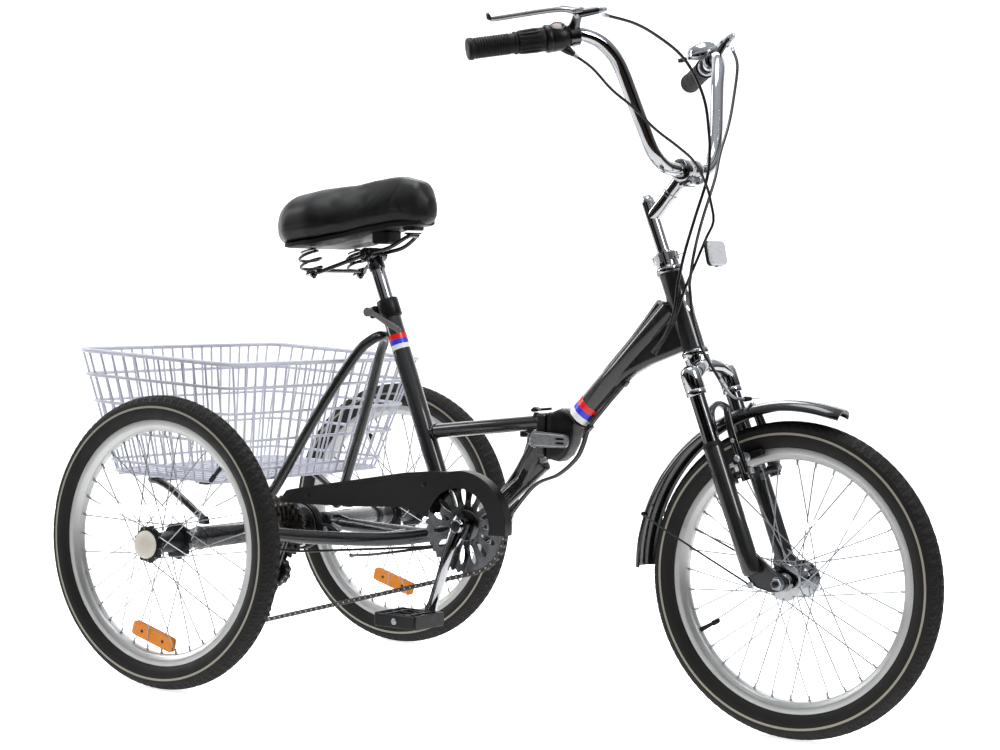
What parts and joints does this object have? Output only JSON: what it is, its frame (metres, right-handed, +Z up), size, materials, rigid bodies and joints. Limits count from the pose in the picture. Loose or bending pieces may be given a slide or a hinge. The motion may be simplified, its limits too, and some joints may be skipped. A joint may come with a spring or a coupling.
{
  "type": "folding adult tricycle",
  "caption": "Folding adult tricycle with a sprung front fork, chain drive to the rear axle, a wire cargo basket between the rear wheels and a padded saddle.",
  "frame": {"origin": "on the floor under the centre of the machine's bounding box", "axes": "+X forward, +Y to the rider's left, +Z up"},
  "size_m": [1.5285, 0.7714, 1.1195],
  "materials": {
    "painted_frame": "gloss black enamel",
    "chrome": "polished chrome plate",
    "alloy": "satin aluminium",
    "steel": "bare zinc-plated steel",
    "tyre": "black tyre rubber with a pale line",
    "grip_rubber": "ribbed black rubber",
    "black_plastic": "black moulded plastic",
    "white_wire": "white powder-coated wire",
    "clear_plastic": "clear prismatic plastic",
    "saddle_vinyl": "black vinyl over foam",
    "cable_housing": "black PVC cable housing"
  },
  "bodies": {
    "rear_frame": {"seat_tube": "painted_frame", "top_tube": "painted_frame", "down_tube": "painted_frame", "rear_carrier": "painted_frame", "seat_stays": "painted_frame", "rack_hoop": "painted_frame", "hinge_plate_rear": "painted_frame", "chain_guard": "painted_frame", "chain": "steel", "basket": "white_wire", "brake_band": "painted_frame", "derailleur_body": "black_plastic", "seat_clamp": "painted_frame", "derailleur_cage": "black_plastic"},
    "latch": {"latch_lever": "alloy"},
    "seat_lever": {"seat_clamp_lever": "painted_frame"},
    "seat": {"seat_post": "chrome", "saddle_frame": "steel"},
    "saddle": {"saddle_cushion": "saddle_vinyl"},
    "front_frame": {"hinge_plate_front": "painted_frame", "main_beam": "painted_frame", "head_tube": "painted_frame"},
    "fork": {"fork_crown": "chrome", "quill_stem": "chrome", "handlebar": "chrome", "grip_right": "grip_rubber", "grip_left": "grip_rubber", "shifter_housing": "black_plastic", "lever_bracket_right": "black_plastic", "lever_bracket_left": "black_plastic", "bell": "chrome", "front_reflector": "clear_plastic", "front_brake_cable": "cable_housing", "rear_brake_cable": "cable_housing", "gear_cable": "cable_housing"},
    "fork_legs": {"fork_lowers": "painted_frame", "front_mudguard": "painted_frame", "front_axle": "steel"},
    "front_wheel": {"front_tyre": "tyre", "front_rim": "alloy", "front_hub": "alloy"},
    "brake_arm_right": {"v_brake_arm_right": "black_plastic"},
    "brake_arm_left": {"v_brake_arm_left": "black_plastic"},
    "shifter": {"twist_shifter": "grip_rubber"},
    "lever_right": {"brake_lever_right": "alloy"},
    "lever_left": {"brake_lever_left": "alloy"},
    "bell_thumb": {"bell_lever": "black_plastic"},
    "crank_set": {"crank_right": "alloy", "crank_left": "alloy", "chainring": "chrome"},
    "pedal_r": {"pedal_right": "black_plastic"},
    "pedal_l": {"pedal_left": "black_plastic"},
    "drive_axle": {"rear_axle": "steel", "rear_right_tyre": "tyre", "rear_right_rim": "alloy", "rear_right_hub": "black_plastic"},
    "left_wheel": {"rear_left_tyre": "tyre", "rear_left_rim": "alloy", "rear_left_hub": "black_plastic"},
    "sprockets": {"freewheel": "steel"}
  },
  "joints": [
    {"name": "frame_fold", "type": "hinge", "parent": "rear_frame", "child": "front_frame", "pos_m": [0.06675, 0.031, 0.445], "axis": [0, 0, 1], "range_deg": [0, 110]},
    {"name": "latch_swing", "type": "hinge", "parent": "rear_frame", "child": "latch", "pos_m": [0.05075, -0.033, 0.439], "axis": [0, 0, -1], "range_deg": [0, 110]},
    {"name": "seat_clamp_swing", "type": "hinge", "parent": "rear_frame", "child": "seat_lever", "pos_m": [-0.30356, 0, 0.6375], "axis": [0, 1, 0], "range_deg": [0, 50]},
    {"name": "seat_height", "type": "slide", "parent": "rear_frame", "child": "seat", "axis": [-0.371, 0, 0.9286], "range_m": [0, 0.1]},
    {"name": "saddle_springs", "type": "slide", "parent": "seat", "child": "saddle", "axis": [0, 0, -1], "range_m": [0, 0.003], "stiffness_N_per_m": 9000, "springref_m": -0.004},
    {"name": "steering", "type": "hinge", "parent": "front_frame", "child": "fork", "pos_m": [0.33325, 0, 0.587], "axis": [-0.3671, 0, 0.9302], "range_deg": [-40, 40]},
    {"name": "fork_travel", "type": "slide", "parent": "fork", "child": "fork_legs", "axis": [-0.3671, 0, 0.9302], "range_m": [0, 0.025], "stiffness_N_per_m": 6000, "springref_m": -0.03},
    {"name": "front_wheel_spin", "type": "hinge", "parent": "fork_legs", "child": "front_wheel", "pos_m": [0.51725, 0, 0.247], "axis": [0, 1, 0], "continuous": true},
    {"name": "brake_lever_right_pull", "type": "hinge", "parent": "fork", "child": "lever_right", "pos_m": [0.24107, -0.23453, 1.10566], "axis": [0.6649, -0.5112, -0.5446], "range_deg": [0, 10.5], "stiffness_Nm_per_rad": 0.6, "springref_deg": -17.19},
    {"name": "brake_lever_left_pull", "type": "hinge", "parent": "fork", "child": "lever_left", "pos_m": [0.23697, 0.23879, 1.10465], "axis": [-0.6649, -0.5112, 0.5446], "range_deg": [0, 10.5], "stiffness_Nm_per_rad": 0.6, "springref_deg": -17.19},
    {"name": "brake_arm_right_squeeze", "type": "hinge", "parent": "fork_legs", "child": "brake_arm_right", "pos_m": [0.45191, -0.046, 0.41257], "axis": [-0.9302, 0, -0.3671], "range_deg": [0, 4.2]},
    {"name": "brake_arm_left_squeeze", "type": "hinge", "parent": "fork_legs", "child": "brake_arm_left", "pos_m": [0.45191, 0.046, 0.41257], "axis": [0.9302, 0, 0.3671], "range_deg": [0, 4.2]},
    {"name": "gear_twist", "type": "hinge", "parent": "fork", "child": "shifter", "pos_m": [0.18238, -0.26682, 1.06432], "axis": [0.6837, 0.7102, 0.1679], "range_deg": [0, 120]},
    {"name": "bell_ring", "type": "hinge", "parent": "fork", "child": "bell_thumb", "pos_m": [0.19207, 0.24863, 1.08266], "axis": [-0.2489, -0.2489, 0.936], "range_deg": [0, 30], "stiffness_Nm_per_rad": 0.02, "springref_deg": -11.46},
    {"name": "crank_spin", "type": "hinge", "parent": "rear_frame", "child": "crank_set", "pos_m": [-0.07125, 0, 0.288], "axis": [0, 1, 0], "continuous": true},
    {"name": "pedal_right_spin", "type": "hinge", "parent": "crank_set", "child": "pedal_r", "pos_m": [-0.1199, -0.137, 0.13557], "axis": [0, 1, 0], "continuous": true},
    {"name": "pedal_left_spin", "type": "hinge", "parent": "crank_set", "child": "pedal_l", "pos_m": [-0.02261, 0.137, 0.44043], "axis": [0, 1, 0], "continuous": true},
    {"name": "rear_axle_spin", "type": "hinge", "parent": "rear_frame", "child": "drive_axle", "pos_m": [-0.49225, 0, 0.247], "axis": [0, 1, 0], "continuous": true},
    {"name": "rear_left_wheel_spin", "type": "hinge", "parent": "rear_frame", "child": "left_wheel", "pos_m": [-0.49225, 0.33075, 0.247], "axis": [0, 1, 0], "continuous": true},
    {"name": "freewheel_spin", "type": "hinge", "parent": "rear_frame", "child": "sprockets", "pos_m": [-0.49225, 0, 0.247], "axis": [0, 1, 0], "continuous": true}
  ],
  "couplings": [
    {"joint": "freewheel_spin", "follows": "crank_spin", "ratio": 2},
    {"joint": "brake_arm_right_squeeze", "follows": "brake_lever_left_pull", "ratio": 0.4},
    {"joint": "brake_arm_left_squeeze", "follows": "brake_lever_left_pull", "ratio": 0.4}
  ]
}
